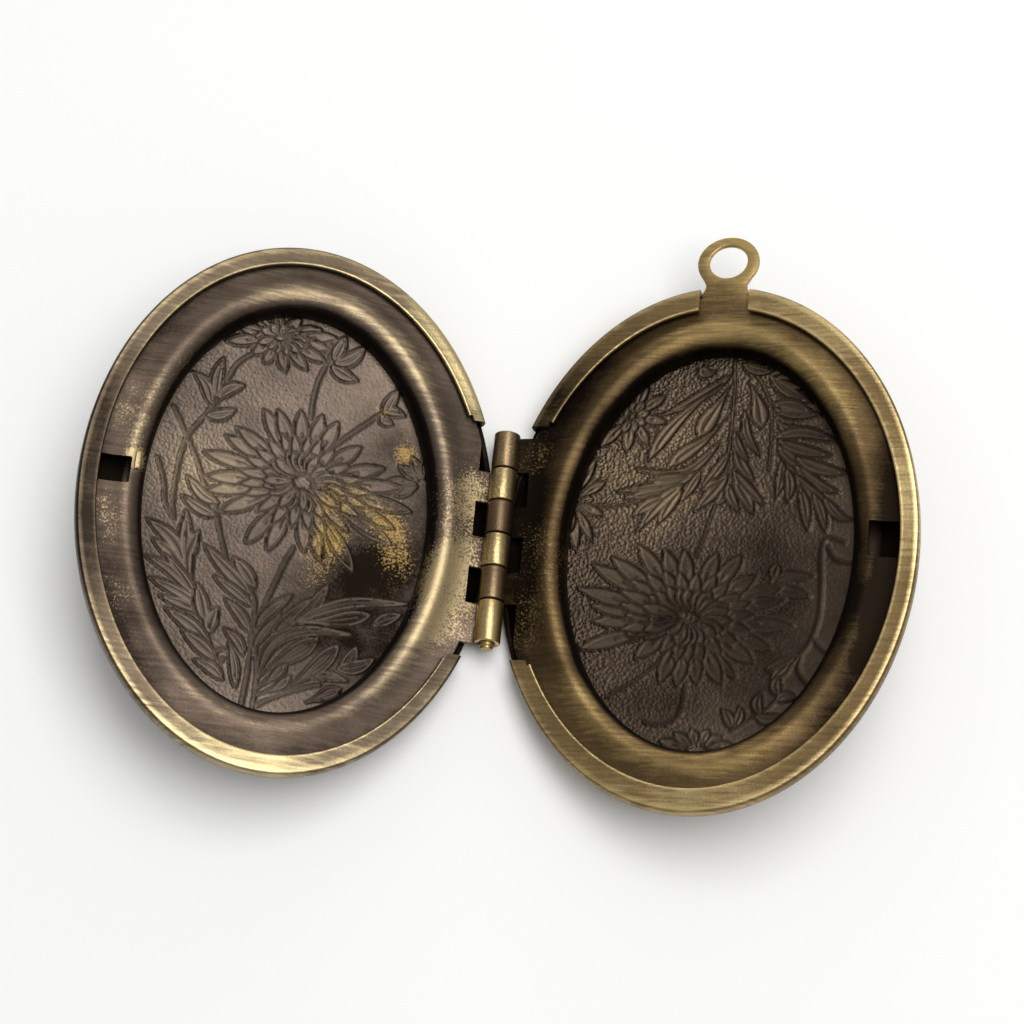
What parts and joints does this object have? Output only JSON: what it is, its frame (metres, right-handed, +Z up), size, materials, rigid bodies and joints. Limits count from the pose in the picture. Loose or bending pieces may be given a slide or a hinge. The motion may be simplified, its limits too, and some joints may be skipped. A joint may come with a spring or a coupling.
{
  "type": "locket",
  "caption": "Oval locket lying open: domed halves on a knuckle hinge, inner plates with turned-down picture openings, flower-stamped floors and a flat bail ring.",
  "frame": {"origin": "centre of the bounding box, at the surface that the open locket lies on", "axes": "+Z up from the surface, +Y along the hinge towards the bail, +X from the hinge across the back half"},
  "size_m": [0.0586, 0.0446, 0.01],
  "materials": {
    "back_shell": "antiqued, brown patina with worn brass on high spots",
    "back_plate": "antiqued, dark brown patina with a worn brassy bead",
    "front_shell": "antiqued, grey-brown patina with worn golden patches",
    "front_plate": "antiqued, grey-brown patina with a worn brassy bead",
    "hinge_pin": "worn bright"
  },
  "bodies": {
    "back_half": {"back_shell": "back_shell", "back_plate": "back_plate", "hinge_pin": "hinge_pin"},
    "front_half": {"front_shell": "front_shell", "front_plate": "front_plate"}
  },
  "joints": [
    {"name": "locket_hinge", "type": "hinge", "parent": "back_half", "child": "front_half", "pos_m": [0, -0.00233, 0.00177], "axis": [0, 1, 0], "range_deg": [-32, 148]}
  ]
}
